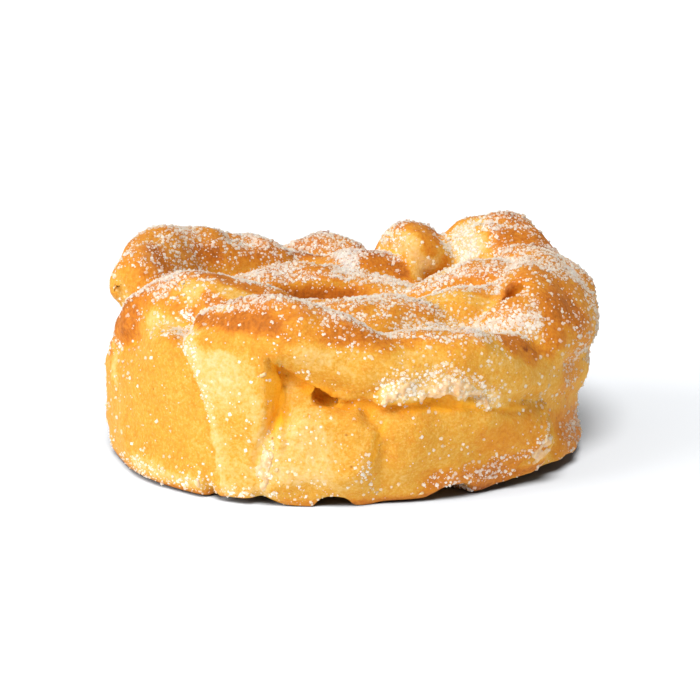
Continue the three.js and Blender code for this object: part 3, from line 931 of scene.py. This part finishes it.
def baked_colour_group():
    """Colour of dough by how far it is baked, mottled finely, as a node group."""
    group = bpy.data.node_groups.new("baked_colour", "ShaderNodeTree")
    group.interface.new_socket("Baked_and_painted_light", in_out="INPUT", socket_type="NodeSocketFloat")
    group.interface.new_socket("Mottle", in_out="INPUT", socket_type="NodeSocketFloat")
    group.interface.new_socket("Color", in_out="OUTPUT", socket_type="NodeSocketColor")
    inside = node(group, "NodeGroupInput")
    blotch = reckoned(group, "SUBTRACT", speckle(group, length=1.6, detail=4), 0.5)
    grain = reckoned(group, "SUBTRACT", speckle(group, length=0.7, detail=4), 0.5)
    both = reckoned(group, "ADD", reckoned(group, "MULTIPLY", blotch, 0.6), grain)
    shift = reckoned(group, "MULTIPLY", both, inside.outputs["Mottle"])
    baked_and_painted_light = reckoned(group, "ADD", inside.outputs["Baked_and_painted_light"], shift)
    steps = node(group, "ShaderNodeValToRGB")
    points = steps.color_ramp.elements
    while len(points) < len(BAKED_COLOURS):
        points.new(0.5)
    for point, (position, colour) in zip(points, BAKED_COLOURS):
        point.position = position
        point.color = (*colour, 1)
    join(group, baked_and_painted_light, steps.inputs["Fac"])
    outside = node(group, "NodeGroupOutput")
    join(group, steps.outputs["Color"], outside.inputs["Color"])
    return group


def baked_colour(tree, group, mottle):
    made = node(tree, "ShaderNodeGroup", node_tree=group)
    made.inputs["Mottle"].default_value = mottle
    join(tree, read(tree, "baked_and_painted_light"), made.inputs["Baked_and_painted_light"])
    return made.outputs["Color"]


def pores(tree):
    """Small brown pits, in some cells of a cell pattern."""
    place = node(tree, "ShaderNodeTexCoord")
    cells = node(tree, "ShaderNodeTexVoronoi")
    cells.inputs["Scale"].default_value = PORE_CELLS
    join(tree, place.outputs["Object"], cells.inputs["Vector"])
    dot = mapped(tree, cells.outputs["Distance"], 0.05, 0.10, 1, 0)
    few = node(tree, "ShaderNodeSeparateColor")
    join(tree, cells.outputs["Color"], few.inputs["Color"])
    return reckoned(tree, "MULTIPLY", dot, mapped(tree, few.outputs["Red"], 0.6, 0.7, 0, 1))


def crust_finish(group):
    finish, tree, shader = new_finish("baked_crust")
    colour = baked_colour(tree, group, mottle=0.5)
    sugar = mapped(tree, read(tree, "sugar"), 0.15, 0.9, 0, DUST_MOST)
    strewn = mapped(tree, speckle(tree, length=0.5, detail=3), 0.42, 0.62, 0, 1)
    colour = mixed(tree, reckoned(tree, "MULTIPLY", sugar, strewn), colour, SUGAR_WHITE)
    specks = mapped(tree, speckle(tree, length=0.45, detail=2), 0.52, 0.68, 0, SPECK_MOST)
    pale = mapped(tree, read(tree, "baked_and_painted_light"), 0.3, 0.62, 1, 0.15)
    colour = mixed(tree, reckoned(tree, "MULTIPLY", specks, pale), colour, SPECK_CREAM)
    # Painted bounce light: ochre mixed in where folds pass light from dough to dough
    colour = mixed(tree, read(tree, "painted_bounce"), colour, BOUNCE_OCHRE)
    colour = mixed(tree, reckoned(tree, "MULTIPLY", pores(tree), PORE_MOST), colour, PORE_BROWN)
    join(tree, colour, shader.inputs["Base Color"])
    rough = speckle(tree, length=0.8, detail=4)
    join(tree, mapped(tree, rough, 0.3, 0.7, 0.5, 0.75), shader.inputs["Roughness"])
    relief = reckoned(tree, "ADD", rough, speckle(tree, length=0.35, detail=3))
    bumped(tree, shader, relief, strength=0.7, distance=0.24)
    shader.inputs["Specular IOR Level"].default_value = 0.15
    shader.inputs["Subsurface Weight"].default_value = 0.2
    shader.inputs["Subsurface Radius"].default_value = (1.0, 0.5, 0.2)
    shader.inputs["Subsurface Scale"].default_value = 0.0015
    return finish


def caked_finish():
    finish, tree, shader = new_finish("caked_sugar")
    patch = mapped(tree, speckle(tree, length=1.2, detail=4), 0.35, 0.65, 0, 1)
    join(tree, mixed(tree, patch, CAKED_CREAM, CAKED_WHITE), shader.inputs["Base Color"])
    bumped(tree, shader, speckle(tree, length=0.3, detail=3), strength=0.5, distance=0.2)
    shader.inputs["Roughness"].default_value = 0.45
    shader.inputs["Subsurface Weight"].default_value = 0.6
    shader.inputs["Subsurface Radius"].default_value = (1.0, 0.7, 0.45)
    shader.inputs["Subsurface Scale"].default_value = 0.0012
    return finish


def sugar_finish(group):
    finish, tree, shader = new_finish("sugar_grains")
    colour = baked_colour(tree, group, mottle=0.1)
    white = mapped(tree, read(tree, "white"), 0, 1, 0.3, 1)
    colour = mixed(tree, white, colour, SUGAR_WHITE)
    join(tree, colour, shader.inputs["Base Color"])
    shader.inputs["Roughness"].default_value = 0.3
    shader.inputs["IOR"].default_value = 1.54
    shader.inputs["Subsurface Weight"].default_value = 0.8
    shader.inputs["Subsurface Radius"].default_value = (1.0, 0.8, 0.6)
    shader.inputs["Subsurface Scale"].default_value = 0.0006
    return finish


# Studio

FLOOR_REACH = 6.0
FLOOR_GREY = (0.11, 0.1133, 0.1167)


def make_floor():
    mesh = bpy.data.meshes.new("floor")
    sides = ((-1, -1), (1, -1), (1, 1), (-1, 1))
    corners = [(x * FLOOR_REACH, y * FLOOR_REACH, 0) for x, y in sides]
    mesh.from_pydata(corners, [], [(0, 1, 2, 3)])
    floor = placed("floor", mesh)
    finish, _, shader = new_finish("white_floor")
    shader.inputs["Base Color"].default_value = (*FLOOR_GREY, 1)
    shader.inputs["Roughness"].default_value = 0.9
    mesh.materials.append(finish)
    light_floor(floor)


# Lights of the floor: energy, angle and direction
FLOOR_LIGHTS = {
    "floor_light": (26.5, math.radians(25), Vector((0.05, 0.9, -1))),
    "low_floor_light": (9, math.radians(40), Vector((0.8, 0.4, -0.45))),
}


def light_floor(floor):
    """Light that falls on the floor only, as from a bright sweep around it."""
    lit = bpy.data.collections.new("lit_floor")
    lit.objects.link(floor)
    for name, light in FLOOR_LIGHTS.items():
        add_sun(name, *light).light_linking.receiver_collection = lit


def add_sun(name, energy, angle, direction):
    sun = bpy.data.lights.new(name, "SUN")
    sun.energy = energy
    sun.angle = angle
    lamp = placed(name, sun)
    lamp.rotation_euler = direction.to_track_quat("-Z", "Y").to_euler()
    return lamp


WORLD_STRENGTH = 0.58
KEY_ENERGY = 3.25
KEY_ANGLE = math.radians(45)
KEY_DIRECTION = Vector((0.64, 0.55, -0.72))


def make_lights():
    world = bpy.data.worlds.new("studio")
    world.use_nodes = True
    background = world.node_tree.nodes["Background"]
    background.inputs["Color"].default_value = (1, 1, 1, 1)
    background.inputs["Strength"].default_value = WORLD_STRENGTH
    bpy.context.scene.world = world
    add_sun("key", KEY_ENERGY, KEY_ANGLE, KEY_DIRECTION)


CAMERA_TARGET = Vector((-0.0004, 0, 0.0194))
CAMERA_DISTANCE = 0.62
CAMERA_ELEVATION = math.radians(13)
CAMERA_LENS = 164.8


def make_camera():
    data = bpy.data.cameras.new("camera")
    data.lens = CAMERA_LENS
    data.sensor_width = 36
    camera = placed("camera", data)
    back = Vector((0, -math.cos(CAMERA_ELEVATION), math.sin(CAMERA_ELEVATION)))
    camera.location = CAMERA_TARGET + back * CAMERA_DISTANCE
    camera.rotation_euler = (-back).to_track_quat("-Z", "Y").to_euler()
    bpy.context.scene.camera = camera
    bpy.context.scene.view_settings.view_transform = "Standard"


def dress(piece, finish):
    piece.data.materials.append(finish)
    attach(piece, "root")


def main():
    make_camera()
    make_lights()
    make_floor()
    group = baked_colour_group()
    crust, dough = make_crust()
    dress(crust, crust_finish(group))
    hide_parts("bun")
    lumps, cake = caked_sugar(dough)
    dress(lumps, caked_finish())
    surface = ground(dough, cake)
    grains = sugar_finish(group)
    for name, kind in LOOSE_GRAINS.items():
        dress(loose_sugar(surface, name, kind), grains)


main()
